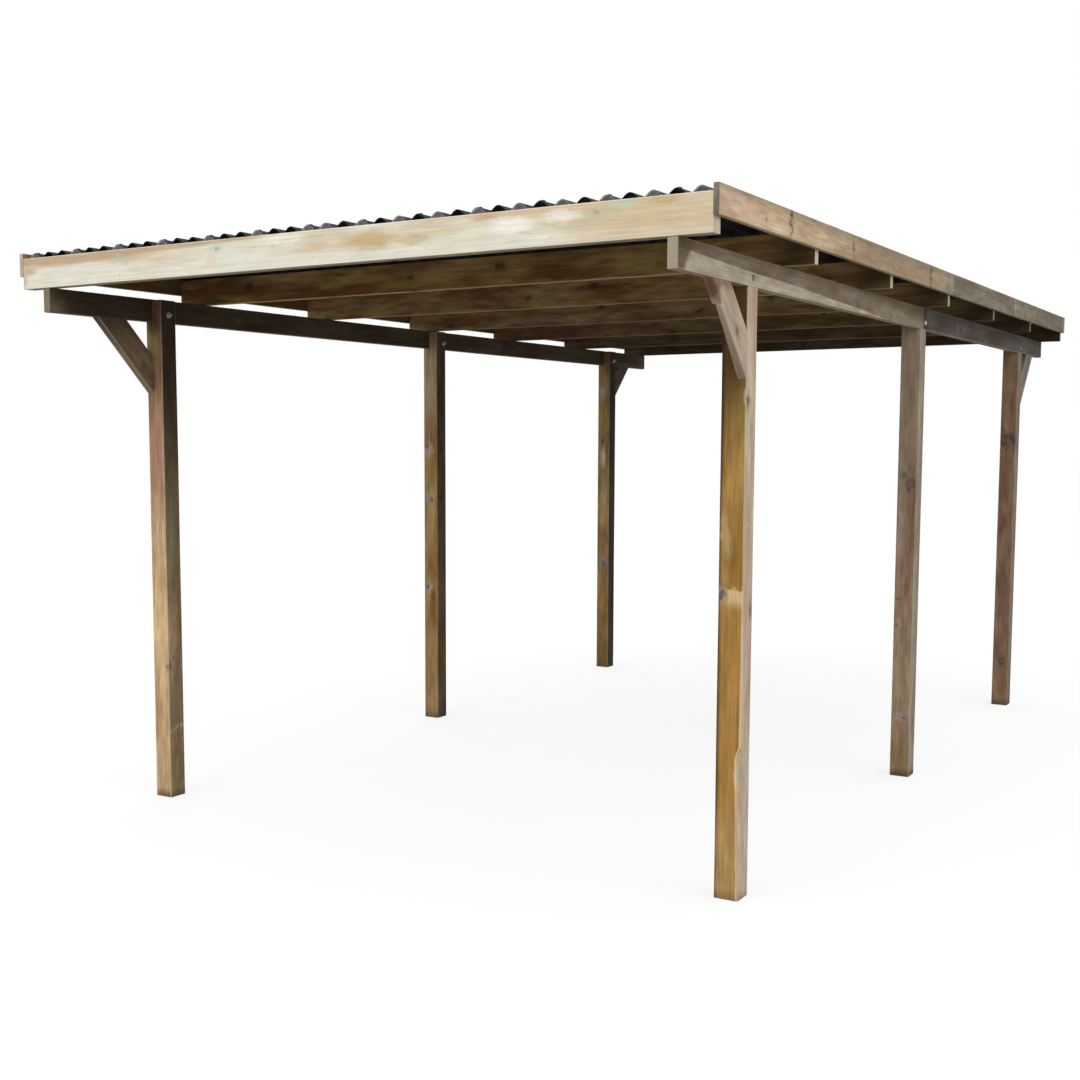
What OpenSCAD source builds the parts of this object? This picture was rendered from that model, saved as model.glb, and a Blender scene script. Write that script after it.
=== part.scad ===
// Freestanding timber carport, open on all sides.
// Six notched posts carry a beam along each side, rafters lie across the beams,
// and lapped corrugated sheets cover the rafters behind a front board and side boards.
// Millimetres, +Z up. The open front faces -Y, and +X is its right-hand side.

/* [Whole] */
// Width over the side boards
roof_w = 3000; // [2700:10:3100]
// Length of the roof from front to rear
roof_l = 5400; // [5000:10:5700]
// Clear height under the beams
clear_h = 2075; // [1900:5:2400]
// How far the roof reaches past the beams on each side
eaves = 130; // [80:5:200]

/* [Posts] */
// Side of the square posts
post_w = 88; // [76:1:110]
// How far the roof reaches past the end posts, at the front and at the rear
overhang = 556; // [420:2:700]
// Chamfer along the posts' edges
post_ease = 4; // [1:0.5:8]
// How far a post's tongue stays below the top of the beam
head_drop = 4; // [0:1:20]

/* [Beams and braces] */
// Thickness of the beams and the braces
beam_t = 36; // [28:1:45]
// Depth of the beams
beam_d = 96; // [80:1:120]
// How far the beams' front ends stay behind the front board's face
beam_set = 4; // [0:1:20]
// Gap between two lengths butted over a support
butt_gap = 2; // [1:0.5:6]
// Width of the brace boards
brace_w = 112; // [90:1:130]
// Distance from the post to the brace, along the beam
brace_reach = 145; // [100:5:180]

/* [Rafters] */
// Thickness of the rafters
rafter_t = 36; // [28:1:50]
// Depth of the rafters
rafter_d = 115; // [95:1:140]
// How much shorter the first bay is than the others
first_bay_less = 32; // [0:2:80]

/* [Boards] */
// Thickness of the front board and the side boards
board_t = 20; // [16:1:28]
// Height of the front board
front_board_h = 120; // [100:1:145]
// Height of the side boards
side_board_h = 92; // [75:1:120]
// How far the side boards rise over the front board
side_rise = 22; // [10:1:40]
// Chamfer along the edges of sawn boards, beams and rafters
board_ease = 2; // [0.5:0.5:4]

/* [Roof sheets] */
// Distance from crest to crest
wave_pitch = 77.5; // [70:0.5:80]
// Height of the wave
wave_h = 25; // [12:1:30]
// Thickness of a sheet
sheet_t = 2.5; // [1.5:0.5:4]
// Crests in the full width of a sheet
sheet_waves = 11; // [11:1:12]
// Length of a whole sheet
sheet_l = 2000; // [1950:10:2050]
// Length of the end laps
end_lap = 300; // [150:10:350]
// Free space round the sheets, inside the boards
sheet_room = 2; // [1:1:8]

/* [Hidden] */

// Cuts run past the faces they leave by this much
overrun = 1;
// Ends of the roof, and the space between the side boards
front_y = -roof_l / 2;
rear_y = roof_l / 2;
inner_x = roof_w / 2 - board_t;
// Outer face of the posts and the beams on the right-hand side
beam_x = roof_w / 2 - eaves;
// Distance from post to post along a side, with the middle post under the roof's middle
post_pitch = roof_l / 2 - overhang - post_w / 2;
// Levels from the beams upwards
beam_top = clear_h + beam_d;
rafter_top = beam_top + rafter_d;
front_board_top = beam_top + front_board_h;
side_board_top = front_board_top + side_rise;
// Front faces of the rafters, counted from the front
rafter_count = 7;
rafter_last = rafter_count - 1;
first_rafter_y = front_y + board_t;
last_rafter_y = rear_y - rafter_t;
rafter_pitch = (last_rafter_y - first_rafter_y + first_bay_less) / rafter_last;
function rafter_y(i) = i == 0 ? first_rafter_y : last_rafter_y - (rafter_last - i) * rafter_pitch;
// The side boards are butted on the middle of the fourth rafter
side_butt_y = rafter_y(3) + rafter_t / 2;
// A sheet covers one wave less than its width, and a lap lifts it by one layer
lap_clear = 0.2;
layer = sheet_t + lap_clear;
sheet_cover = (sheet_waves - 1) * wave_pitch;
sheet_left = -inner_x + sheet_room;
sheet_right = inner_x - sheet_room;
sheet_columns = 4;
wave_steps = 10;
wave_step = wave_pitch / wave_steps;
// Whole sheets are laid from the front board to the rear with even laps, and the rear course is cut
front_course_y = first_rafter_y + sheet_room;
course_rafter = [0, 2, 4];
course_step = sheet_l - end_lap;
course_from = [front_course_y, front_course_y + course_step, front_course_y + 2 * course_step];
course_to = [front_course_y + sheet_l, front_course_y + course_step + sheet_l, rear_y];
// At an end lap two layers fit below, so the four corners clear each other
course_tilt = [atan(2 * layer / course_step), atan(2 * layer / course_step), 0];

// Rectangle around its own centre with chamfered corners
module eased_rectangle(w, h, ease)
  polygon([
    [ease - w / 2, -h / 2],
    [w / 2 - ease, -h / 2],
    [w / 2, ease - h / 2],
    [w / 2, h / 2 - ease],
    [w / 2 - ease, h / 2],
    [ease - w / 2, h / 2],
    [-w / 2, h / 2 - ease],
    [-w / 2, ease - h / 2]
  ]);

// Pieces of the left-hand side are the right-hand ones mirrored
module on_side(side)
  mirror([side < 0 ? 1 : 0, 0, 0])
    children();

// Board on edge that runs to the rear, between two Y values, with its outer face at x
module board_along(x, t, z, h, from, to)
  translate([x - t / 2, to, z + h / 2])
    rotate([90, 0, 0])
      linear_extrude(height = to - from)
        eased_rectangle(t, h, board_ease);

// Board on edge that runs across, between the side boards, with its front face at y
module board_across(y, t, z, h)
  translate([-inner_x, y + t / 2, z + h / 2])
    rotate([90, 0, 90])
      linear_extrude(height = 2 * inner_x)
        eased_rectangle(t, h, board_ease);

// Post with its foot on the ground, notched on the outer side to a shoulder for the beam
module post(side, row)
  on_side(side)
    translate([beam_x - post_w / 2, row * post_pitch, 0])
      difference() {
        linear_extrude(height = beam_top - head_drop)
          eased_rectangle(post_w, post_w, post_ease);
        translate([post_w / 2 - beam_t, -post_w / 2 - overrun, clear_h])
          cube([beam_t + overrun, post_w + 2 * overrun, beam_d]);
      }

// Length of beam on the posts' shoulders, its inner end on the middle post
module beam(side, row)
  on_side(side)
    board_along(beam_x, beam_t, clear_h, beam_d,
      row < 0 ? front_y + beam_set : butt_gap / 2,
      row < 0 ? -butt_gap / 2 : rear_y);

// Brace at half a right angle from the end post out to the beam's overhang
module brace(side, row) {
  far = brace_reach + brace_w * sqrt(2);
  on_side(side)
    mirror([0, row < 0 ? 1 : 0, 0])
      translate([beam_x - beam_t, post_pitch + post_w / 2, clear_h])
        rotate([90, 0, 90])
          linear_extrude(height = beam_t)
            polygon([[0, -brace_reach], [0, -far], [far, 0], [brace_reach, 0]]);
}

// Rafter laid across both beams
module rafter(i)
  board_across(rafter_y(i), rafter_t, beam_top, rafter_d);

// Board along one side, in front of the rafters' ends
module side_board(side, row)
  on_side(side)
    board_along(roof_w / 2, board_t, side_board_top - side_board_h, side_board_h,
      row < 0 ? front_y : side_butt_y + butt_gap / 2,
      row < 0 ? side_butt_y - butt_gap / 2 : rear_y);

// Edges of the sheets in a column; the last one is cut to the roof's width
function sheet_from(column) = sheet_left + column * sheet_cover;
function sheet_to(column) =
  column == sheet_columns - 1 ? sheet_right : sheet_from(column) + sheet_waves * wave_pitch;

// Height of the wave, with a valley on the roof's middle line
function wave(x) = wave_h * (1 - cos(360 * x / wave_pitch)) / 2;

// First valley in a column, where its sheet lies on the rafters
function valley(column) = ceil(sheet_from(column) / wave_pitch) * wave_pitch;

// Across its width a sheet climbs by one layer, on to the next sheet's edge
function climb(x, column) =
  column == sheet_columns - 1 ? 0 : layer * (x - valley(column)) / sheet_cover;

// Points across a sheet, at its edges and at even steps of the wave between them
function first_step(column) = floor(sheet_from(column) / wave_step) + 1;
function last_step(column) = ceil(sheet_to(column) / wave_step) - 1;
function sheet_points(column) = concat(
  [sheet_from(column)],
  [for (k = [first_step(column) : last_step(column)]) k * wave_step],
  [sheet_to(column)]
);

// Outline of a sheet across the waves, from its underside up to its top
module sheet_profile(column) {
  across = sheet_points(column);
  under = [for (x = across) [x, wave(x) + climb(x, column)]];
  over = [for (k = [len(across) - 1 : -1 : 0]) under[k] + [0, sheet_t]];
  polygon(concat(under, over));
}

// Sheet with its waves running to the rear, tilted about a rafter so that its rear
// end lies on the next course
module sheet(course, column)
  translate([0, rafter_y(course_rafter[course]), rafter_top])
    rotate([course_tilt[course], 0, 0])
      translate([0, course_to[course] - rafter_y(course_rafter[course]), 0])
        rotate([90, 0, 0])
          linear_extrude(height = course_to[course] - course_from[course])
            sheet_profile(column);

// Six posts
module post_front_left() color("peru") post(-1, -1);
module post_front_right() color("peru") post(1, -1);
module post_middle_left() color("peru") post(-1, 0);
module post_middle_right() color("peru") post(1, 0);
module post_rear_left() color("peru") post(-1, 1);
module post_rear_right() color("peru") post(1, 1);

// Two lengths of beam on each side
module beam_front_left() color("burlywood") beam(-1, -1);
module beam_front_right() color("burlywood") beam(1, -1);
module beam_rear_left() color("burlywood") beam(-1, 1);
module beam_rear_right() color("burlywood") beam(1, 1);

// Braces on the four end posts
module brace_front_left() color("tan") brace(-1, -1);
module brace_front_right() color("tan") brace(1, -1);
module brace_rear_left() color("tan") brace(-1, 1);
module brace_rear_right() color("tan") brace(1, 1);

// Seven rafters from the front to the rear
module rafter_1() color("sienna") rafter(0);
module rafter_2() color("sienna") rafter(1);
module rafter_3() color("sienna") rafter(2);
module rafter_4() color("sienna") rafter(3);
module rafter_5() color("sienna") rafter(4);
module rafter_6() color("sienna") rafter(5);
module rafter_7() color("sienna") rafter(6);

// Front board on the beams, between the side boards
module front_board() color("wheat") board_across(front_y, board_t, beam_top, front_board_h);

// Two lengths of board on each side
module side_board_front_left() color("wheat") side_board(-1, -1);
module side_board_front_right() color("wheat") side_board(1, -1);
module side_board_rear_left() color("wheat") side_board(-1, 1);
module side_board_rear_right() color("wheat") side_board(1, 1);

// Three courses of four sheets, counted from the left
module sheet_front_1() color("dimgray") sheet(0, 0);
module sheet_front_2() color("dimgray") sheet(0, 1);
module sheet_front_3() color("dimgray") sheet(0, 2);
module sheet_front_4() color("dimgray") sheet(0, 3);
module sheet_middle_1() color("dimgray") sheet(1, 0);
module sheet_middle_2() color("dimgray") sheet(1, 1);
module sheet_middle_3() color("dimgray") sheet(1, 2);
module sheet_middle_4() color("dimgray") sheet(1, 3);
module sheet_rear_1() color("dimgray") sheet(2, 0);
module sheet_rear_2() color("dimgray") sheet(2, 1);
module sheet_rear_3() color("dimgray") sheet(2, 2);
module sheet_rear_4() color("dimgray") sheet(2, 3);

post_front_left();
post_front_right();
post_middle_left();
post_middle_right();
post_rear_left();
post_rear_right();
beam_front_left();
beam_front_right();
beam_rear_left();
beam_rear_right();
brace_front_left();
brace_front_right();
brace_rear_left();
brace_rear_right();
rafter_1();
rafter_2();
rafter_3();
rafter_4();
rafter_5();
rafter_6();
rafter_7();
front_board();
side_board_front_left();
side_board_front_right();
side_board_rear_left();
side_board_rear_right();
sheet_front_1();
sheet_front_2();
sheet_front_3();
sheet_front_4();
sheet_middle_1();
sheet_middle_2();
sheet_middle_3();
sheet_middle_4();
sheet_rear_1();
sheet_rear_2();
sheet_rear_3();
sheet_rear_4();
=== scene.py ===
import math
import random

import bmesh
import bpy
from mathutils import Matrix, Vector, noise


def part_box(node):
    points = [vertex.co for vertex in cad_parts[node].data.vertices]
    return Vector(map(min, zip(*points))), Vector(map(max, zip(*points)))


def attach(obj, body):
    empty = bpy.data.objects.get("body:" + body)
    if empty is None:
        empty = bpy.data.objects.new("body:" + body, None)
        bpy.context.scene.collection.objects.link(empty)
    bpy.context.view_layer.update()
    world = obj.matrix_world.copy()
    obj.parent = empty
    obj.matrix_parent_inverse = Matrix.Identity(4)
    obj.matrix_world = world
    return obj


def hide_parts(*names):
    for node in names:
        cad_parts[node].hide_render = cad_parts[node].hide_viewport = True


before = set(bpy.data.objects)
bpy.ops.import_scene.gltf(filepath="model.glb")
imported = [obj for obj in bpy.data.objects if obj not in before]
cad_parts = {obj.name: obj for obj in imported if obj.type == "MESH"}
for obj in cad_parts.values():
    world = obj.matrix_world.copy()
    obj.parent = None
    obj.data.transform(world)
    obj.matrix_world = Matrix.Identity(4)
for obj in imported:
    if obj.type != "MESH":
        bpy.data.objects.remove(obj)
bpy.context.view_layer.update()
scene = bpy.context.scene
scene.view_settings.view_transform = "Standard"


# ---------------------------------------------------------------- floor, light and camera
# The carport stands on a plain pale floor under an even white sky, with three broad soft lamps.
# The camera stands in front, to the right of the parking bay, at eye height.
def linear(tone):
    """An sRGB hex colour as the linear values that the shaders take."""
    parts = [int(tone[i:i + 2], 16) / 255 for i in (1, 3, 5)]
    return tuple(p / 12.92 if p <= 0.04045 else ((p + 0.055) / 1.055) ** 2.4 for p in parts) + (1.0,)


def set_inputs(tree, node, inputs):
    """Links each input of a node to another node's socket, or gives it a value."""
    for socket, value in inputs.items():
        if isinstance(value, bpy.types.NodeSocket):
            tree.links.new(value, node.inputs[socket])
        else:
            node.inputs[socket].default_value = value


def add_node(tree, kind, inputs=None, **settings):
    """A new node with its settings and its inputs."""
    node = tree.nodes.new(kind)
    for key, value in settings.items():
        setattr(node, key, value)
    set_inputs(tree, node, inputs or {})
    return node


def calc(tree, operation, *values):
    """The result of a math node on values or sockets."""
    return add_node(tree, "ShaderNodeMath", dict(enumerate(values)), operation=operation).outputs[0]


def new_material(name):
    """A material that works with nodes, and its node tree."""
    material = bpy.data.materials.new(name)
    material.use_nodes = True
    return material, material.node_tree


def new_object(name, content):
    """An object with its mesh, lamp or camera, in the scene."""
    made = bpy.data.objects.new(name, content)
    scene.collection.objects.link(made)
    return made


reach, drop = 80, -0.0005
floor_mesh = bpy.data.meshes.new("floor")
floor_mesh.from_pydata([(-reach, -reach, drop), (reach, -reach, drop), (reach, reach, drop), (-reach, reach, drop)],
                       [], [(0, 1, 2, 3)])
floor = new_object("floor", floor_mesh)
floor_paint, tree = new_material("pale matt floor")
tree.nodes.clear()
# seen by the camera, in reflections and through glass the floor is white and keeps a soft shadow
path = add_node(tree, "ShaderNodeLightPath").outputs
seen = calc(tree, "MAXIMUM", path["Is Camera Ray"], path["Is Glossy Ray"])
seen = calc(tree, "MAXIMUM", seen, path["Is Transmission Ray"])
white = add_node(tree, "ShaderNodeEmission", {"Color": (1, 1, 1, 1), "Strength": 1.0})
shaded = add_node(tree, "ShaderNodeBsdfDiffuse", {"Color": (0.98, 0.98, 0.98, 1)})
backdrop = add_node(tree, "ShaderNodeMixShader", {0: 0.22, 1: white.outputs[0], 2: shaded.outputs[0]})
ground = add_node(tree, "ShaderNodeBsdfDiffuse", {"Color": (0.33, 0.325, 0.315, 1)})
both = add_node(tree, "ShaderNodeMixShader", {0: seen, 1: ground.outputs[0], 2: backdrop.outputs[0]})
add_node(tree, "ShaderNodeOutputMaterial", {"Surface": both.outputs[0]})
floor_mesh.materials.append(floor_paint)

sky = bpy.data.worlds.new("white sky")
sky.use_nodes = True
sky.node_tree.nodes["Background"].inputs["Color"].default_value = (1, 1, 1, 1)
sky.node_tree.nodes["Background"].inputs["Strength"].default_value = 1.0
scene.world = sky

lamp_size, lamp_aim = 9.0, Vector((0, 0, 1.3))
for lamp_name, stand, power in (("front lamp", (-3.0, -16.0, 8.5), 820.0), ("right lamp", (15.5, -4.0, 7.0), 760.0),
                                ("rear left lamp", (-11.0, 11.0, 7.0), 300.0)):
    lamp_light = bpy.data.lights.new(lamp_name, "AREA")
    lamp_light.size = lamp_size
    lamp_light.energy = power
    lamp = new_object(lamp_name, lamp_light)
    lamp.location = stand
    lamp.rotation_euler = (lamp_aim - Vector(stand)).to_track_quat("-Z", "Y").to_euler()

lens = bpy.data.cameras.new("camera")
lens.sensor_width = 36.0
lens.lens = 46.897
lens.shift_x, lens.shift_y = 0.04807, 0.03095
camera = new_object("camera", lens)
turn, dip = math.radians(31.9946), math.radians(-5.4545)
aim = Vector((-math.sin(turn) * math.cos(dip), math.cos(turn) * math.cos(dip), math.sin(dip)))
camera.location = (3.1266, -6.5639, 1.5746)
camera.rotation_euler = aim.to_track_quat("-Z", "Y").to_euler()
scene.camera = camera


# ---------------------------------------------------------------- posts
# Six posts of pressure-treated pine, 88 mm square, sawn and planed with eased edges. Each stands on
# its cut foot and is notched on the outer side of its head, so that a tongue rises behind the beam.
UPRIGHT = (Vector((0, 0, 1)), Vector((1, 0, 0)), Vector((0, 1, 0)))
FRONT, BACK, RIGHT, LEFT, UP, DOWN = (0, -1, 0), (0, 1, 0), (1, 0, 0), (-1, 0, 0), (0, 0, 1), (0, 0, -1)


def timber_outline(width, depth, corners):
    """Points round a timber's section, five round each corner and four along each face, each with its share of edge.
    A corner is given by how far it is cut back in the width and in the depth, and by how round the cut is."""
    arcs = []
    for corner, (in_width, in_depth, bow) in enumerate(corners):
        mid_y = (width / 2 - in_width) * (1 if corner in (0, 3) else -1)
        mid_z = (depth / 2 - in_depth) * (1 if corner in (0, 1) else -1)
        turns = [math.pi / 2 * (corner + k / 4) for k in range(5)]
        arc = [Vector((mid_y + in_width * math.cos(t), mid_z + in_depth * math.sin(t))) for t in turns]
        chord = [arc[0].lerp(arc[4], k / 4) for k in range(5)]
        shares = (0.4, 0.7, 1.0, 0.7, 0.4) if bow == 1 else (1.0, 0.25, 0.1, 0.05, 0.0)
        arcs.append([(chord[k].lerp(arc[k], bow), shares[k]) for k in range(5)])
    points = []
    for corner in range(4):
        points += arcs[corner]
        start, stop = arcs[corner][4][0], arcs[(corner + 1) % 4][0][0]
        run = (stop - start).length
        points += [(start.lerp(stop, share), 0.0) for share in (0.002 / run, 1 / 3, 2 / 3, 1 - 0.002 / run)]
    return points


def sawn_timber(name, axes, foot, size, seed, ease=0.003, wane=None, trim=None, corner_rub_highlight_and_shade=None, skew=(0, 0), step=0.04):
    """A length of sawn timber as a closed mesh. axes are the directions of its length, width and depth, and foot is
    the middle of its first end. wane gives how far one corner is cut back at a distance along, trim how much is off
    the low side of the depth, corner_rub_highlight_and_shade how strongly a corner takes the pale edge tone, rubbed
    wood with a painted highlight, or, below 0, a dark painted shade; skew slants the ends by the depth."""
    end_ease, end_shrink, most_sway, points_a_side = 0.0015, 0.001, 0.0006, 9
    length, width, depth = size
    count = max(4, round(length / step))
    rings = [(0.0, 0.0, end_shrink), (0.0, end_ease, 0.0)]
    rings += [(k / count, 0.0, 0.0) for k in range(1, count)]
    rings += [(1.0, -end_ease, 0.0), (1.0, 0.0, end_shrink)]
    points, edges, faces = [], [], []
    for share, shift, shrink in rings:
        along = share * length + shift
        corners = [(ease - shrink / 2, ease - shrink / 2, 1)] * 4
        if wane and wane[1](along):
            corners[wane[0]] = wane[1](along)
        section = timber_outline(width - 2 * shrink, depth - 2 * shrink, corners)
        sway = [most_sway * noise.noise(Vector((along * 2.1, seed * 3.7, k))) for k in (0.3, 5.3)]
        for k, ((y, z), edge) in enumerate(section):
            z += trim(along) if trim and z < 0 else 0.0
            at = share * (length + skew[1] * z) + (1 - share) * skew[0] * z + shift
            points.append(foot + axes[0] * at + axes[1] * (y + sway[0]) + axes[2] * (z + sway[1]))
            edges.append(edge * (corner_rub_highlight_and_shade(k // points_a_side, along) if corner_rub_highlight_and_shade else 1.0))
    per = len(points) // len(rings)
    for ring in range(len(rings) - 1):
        for k in range(per):
            a, b = ring * per + k, ring * per + (k + 1) % per
            faces.append((a, b, b + per, a + per))
    faces.append(tuple(reversed(range(per))))
    faces.append(tuple(range(len(points) - per, len(points))))
    mesh = bpy.data.meshes.new(name)
    mesh.from_pydata(points, [], faces)
    mesh.attributes.new("arris", "FLOAT", "POINT").data.foreach_set("value", edges)
    return new_object(name, mesh)


def timber_lie(node, axes):
    """The middle of a timber's first end, and its length, width and depth, from its CAD node's box."""
    low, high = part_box(node)
    order = [list(axis).index(1) for axis in axes]
    foot = (low + high) / 2
    foot[order[0]] = low[order[0]]
    return foot, [high[k] - low[k] for k in order]


def calc_vector(tree, operation, *values):
    """The result of a vector math node: a number from a product, length or distance, or else a vector."""
    result = "Value" if operation in ("DOT_PRODUCT", "LENGTH", "DISTANCE") else "Vector"
    return add_node(tree, "ShaderNodeVectorMath", dict(enumerate(values)), operation=operation).outputs[result]


def ranged(tree, value, start, stop, low=0.0, high=1.0, kind="LINEAR"):
    """A value taken from start and stop over to low and high, and held there."""
    return add_node(tree, "ShaderNodeMapRange", {"Value": value, "From Min": start, "From Max": stop, "To Min": low,
                                                 "To Max": high}, interpolation_type=kind).outputs[0]


def mix(tree, share, *tones):
    """Two tones, each an sRGB hex colour or a socket, mixed by a share."""
    first, second = [linear(tone) if isinstance(tone, str) else tone for tone in tones]
    return add_node(tree, "ShaderNodeMix", {0: share, 6: first, 7: second}, data_type="RGBA").outputs[2]


def treated_pine(name, axes, heart, pale, deep, seed, knots=(), faces=(), zones=(), spots=(), scars=(), ring=0.007,
                 figure=0.15, blotch=0.4, hue=0.25, cracked=0.45, stain=0.35, late="#6b4a26", core="#6b5c52",
                 rim="#3a2e25", end="#9c9284", edge="#d2c0a0", edge_rub_and_highlight=0.3, fibrous=0.18):
    """Planed softwood that has stood outdoors. Its solid annual rings give straight lines on quartered faces, arches
    on flat-sawn ones and circles on the ends. Long soft patches of pale and deep tone, fine fibres, short drying
    cracks and knots with a broken dark rim lie over them. faces give other tones by the way a face looks, zones by
    half-spaces with a wavy border, spots by soft ovals, scars by ragged marks across the grain, where a branch was
    cut lengthwise. All lengths are in metres; heart is a point on the stem's centre line."""
    smooth = "SMOOTHSTEP"
    wood, tree = new_material(name)
    frame_turn = Matrix(axes)
    place = add_node(tree, "ShaderNodeTexCoord").outputs["Object"]
    grain = add_node(tree, "ShaderNodeMapping", {"Vector": place, "Location": -(frame_turn @ Vector(heart)),
                                                 "Rotation": frame_turn.to_euler()}).outputs[0]
    facing = add_node(tree, "ShaderNodeNewGeometry").outputs["Normal"]

    # slow drift of the stem, long soft patches, fibres and a fine wobble, all stretched along the grain
    fields, colours = {}, {}
    for field, lengthwise, crosswise, detail in (("drift", 0.9, 8.0, 1.5), ("patch", 2.4, 17.0, 4.0),
                                                 ("fibre", 9.0, 260.0, 2.0), ("wobble", 34.0, 50.0, 2.0),
                                                 ("crack", 3.0, 75.0, 2.0), ("gate", 5.0, 24.0, 1.0),
                                                 ("mottle", 10.0, 42.0, 4.0)):
        spread = calc_vector(tree, "MULTIPLY", grain, (lengthwise, crosswise, crosswise))
        cloud = add_node(tree, "ShaderNodeTexNoise", {"Vector": spread, "W": seed * 7.3 + len(fields), "Scale": 1.0,
                                                      "Detail": detail}, noise_dimensions="4D")
        fields[field], colours[field] = cloud.outputs["Fac"], cloud.outputs["Color"]
    wobbled = calc_vector(tree, "MULTIPLY_ADD", colours["wobble"], (0.04,) * 3, grain)

    def away_from(point, squeeze):
        """Wobbled distance to a point, with lengths along the grain squeezed."""
        at = frame_turn @ (Vector(point) - Vector(heart)) + Vector((0.02,) * 3)
        lain = calc_vector(tree, "MULTIPLY", wobbled, (squeeze, 1, 1))
        return calc_vector(tree, "DISTANCE", lain, (at.x * squeeze, at.y, at.z))

    def blend(body, share, tone, side=None):
        """The body tone mixed with another by a share, on every face or only on the ones that look to a side."""
        if side:
            towards = calc_vector(tree, "DOT_PRODUCT", facing, side)
            share = calc(tree, "MULTIPLY", share, ranged(tree, towards, 0.5, 0.85))
        return mix(tree, share, body, tone)

    # the nearest knot, measured in its own radius
    nearest = None
    for point, radius in knots:
        own = calc(tree, "DIVIDE", away_from(point, 0.7), radius)
        nearest = own if nearest is None else calc(tree, "MINIMUM", nearest, own)

    # annual rings round the heart, which bend aside at the knots
    drifted = calc_vector(tree, "MULTIPLY_ADD", colours["drift"], (0, 0.03, 0.03), grain)
    across = calc_vector(tree, "MULTIPLY", drifted, (0, 1, 1))
    years = calc(tree, "DIVIDE", calc_vector(tree, "LENGTH", across), ring)
    strength = figure
    if nearest is not None:
        halo = ranged(tree, nearest, 3.2, 0.9, kind=smooth)
        years = calc(tree, "MULTIPLY_ADD", halo, 2.2, years)
        strength = calc(tree, "MULTIPLY_ADD", halo, 0.25, figure)
    latewood = calc(tree, "POWER", calc(tree, "FRACT", years), 2.5)

    # body tone: patches, faces, zones, spots and scars
    mixed = ranged(tree, fields["patch"], 0.36, 0.64, kind=smooth)
    body = blend(pale, mixed, deep)
    for direction, face_pale, face_deep in faces:
        body = blend(body, 1.0, blend(face_pale, mixed, face_deep), direction)
    tint = calc_vector(tree, "MULTIPLY_ADD", colours["patch"], (hue * 1.6,) * 3, (1 - hue * 0.8,) * 3)
    body = calc_vector(tree, "MULTIPLY", body, tint)
    loose = calc_vector(tree, "MULTIPLY_ADD", colours["drift"], (0.04,) * 3, place)
    loose = calc_vector(tree, "SUBTRACT", loose, (0.02,) * 3)
    for tone, direction, start, stop, most, *side in zones:
        depth_in = calc_vector(tree, "DOT_PRODUCT", loose, direction)
        body = blend(body, ranged(tree, depth_in, start, stop, 0.0, most, smooth), tone, *side)
    for tone, point, spot_radius, most, *squeeze in spots:
        away = away_from(point, *(squeeze or [0.4]))
        body = blend(body, ranged(tree, away, spot_radius, spot_radius * 0.25, 0.0, most, smooth), tone)
    gated = ranged(tree, fields["wobble"], 0.40, 0.56, 0.05)
    ragged = add_node(tree, "ShaderNodeSeparateXYZ", {0: wobbled}).outputs[0]
    ragged = calc(tree, "MULTIPLY_ADD", fields["gate"], 0.12, ragged)
    for tone, along, most, *side in scars:
        at = (frame_turn @ (Vector(axes[0]) * along - Vector(heart))).x + 0.08
        off = calc(tree, "ABSOLUTE", calc(tree, "SUBTRACT", ragged, at))
        body = blend(body, ranged(tree, off, 0.03, 0.0, 0.0, most * 0.3, smooth), tone, *side)
        thin = ranged(tree, off, 0.0075, 0.002, 0.0, most)
        body = blend(body, calc(tree, "MULTIPLY", thin, gated), tone, *side)

    # rings, fibres and cracks over it
    body = blend(body, calc(tree, "MULTIPLY", latewood, strength), late)
    thread = ranged(tree, fields["fibre"], 0.3, 0.7, 1 - fibrous, 1 + 0.75 * fibrous)
    mottled = ranged(tree, fields["mottle"], 0.3, 0.7, 1 - blotch * 0.6, 1 + blotch * 0.5)
    body = calc_vector(tree, "MULTIPLY", body, calc(tree, "MULTIPLY", thread, mottled))
    off = calc(tree, "ABSOLUTE", calc(tree, "SUBTRACT", fields["crack"], 0.5))
    gate = ranged(tree, fields["gate"], 0.56, 0.66)
    split = calc(tree, "MULTIPLY", ranged(tree, off, 0.012, 0.004), gate)
    body = blend(body, calc(tree, "MULTIPLY", split, cracked), "#3a2c20")

    # knots: a stained halo, a core with rings of its own, and a thin dark rim that comes and goes
    relief = calc(tree, "MULTIPLY_ADD", latewood, 0.25, thread)
    if nearest is not None:
        body = blend(body, calc(tree, "MULTIPLY", halo, stain), core)
        inside = ranged(tree, nearest, 1.1, 0.7, 0.0, 0.8, smooth)
        pulse = calc(tree, "MULTIPLY_ADD", calc(tree, "PINGPONG", nearest, 0.2), 1.8, 0.7)
        body = blend(body, calc(tree, "MULTIPLY", inside, pulse), core)
        gap = calc(tree, "ABSOLUTE", calc(tree, "SUBTRACT", nearest, 0.95))
        ridge = ranged(tree, gap, 0.3, 0.0, 0.0, 0.65)
        ridge = calc(tree, "MULTIPLY", ridge, ranged(tree, fields["wobble"], 0.38, 0.58, 0.15))
        body = blend(body, ridge, rim)
        relief = calc(tree, "SUBTRACT", relief, ridge)

    # cut ends are greyer; eased edges take the pale edge tone, rubbed wood with a painted highlight, and edges marked
    # below 0 a dark painted shade
    endwise = calc(tree, "ABSOLUTE", calc_vector(tree, "DOT_PRODUCT", facing, axes[0]))
    body = blend(body, ranged(tree, endwise, 0.6, 0.9, 0.0, 0.65), end)
    arris = add_node(tree, "ShaderNodeAttribute", attribute_name="arris").outputs["Fac"]
    uneven = ranged(tree, fields["gate"], 0.35, 0.6, 0.5)
    rubbed_and_highlit = ranged(tree, arris, 0.0, 1.0, 0.0, edge_rub_and_highlight)
    body = blend(body, calc(tree, "MULTIPLY", rubbed_and_highlit, uneven), edge)
    # painted shade: edges marked below 0 go dark
    body = blend(body, ranged(tree, arris, 0.0, -1.0, 0.0, 0.7), "#2b2016")

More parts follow.
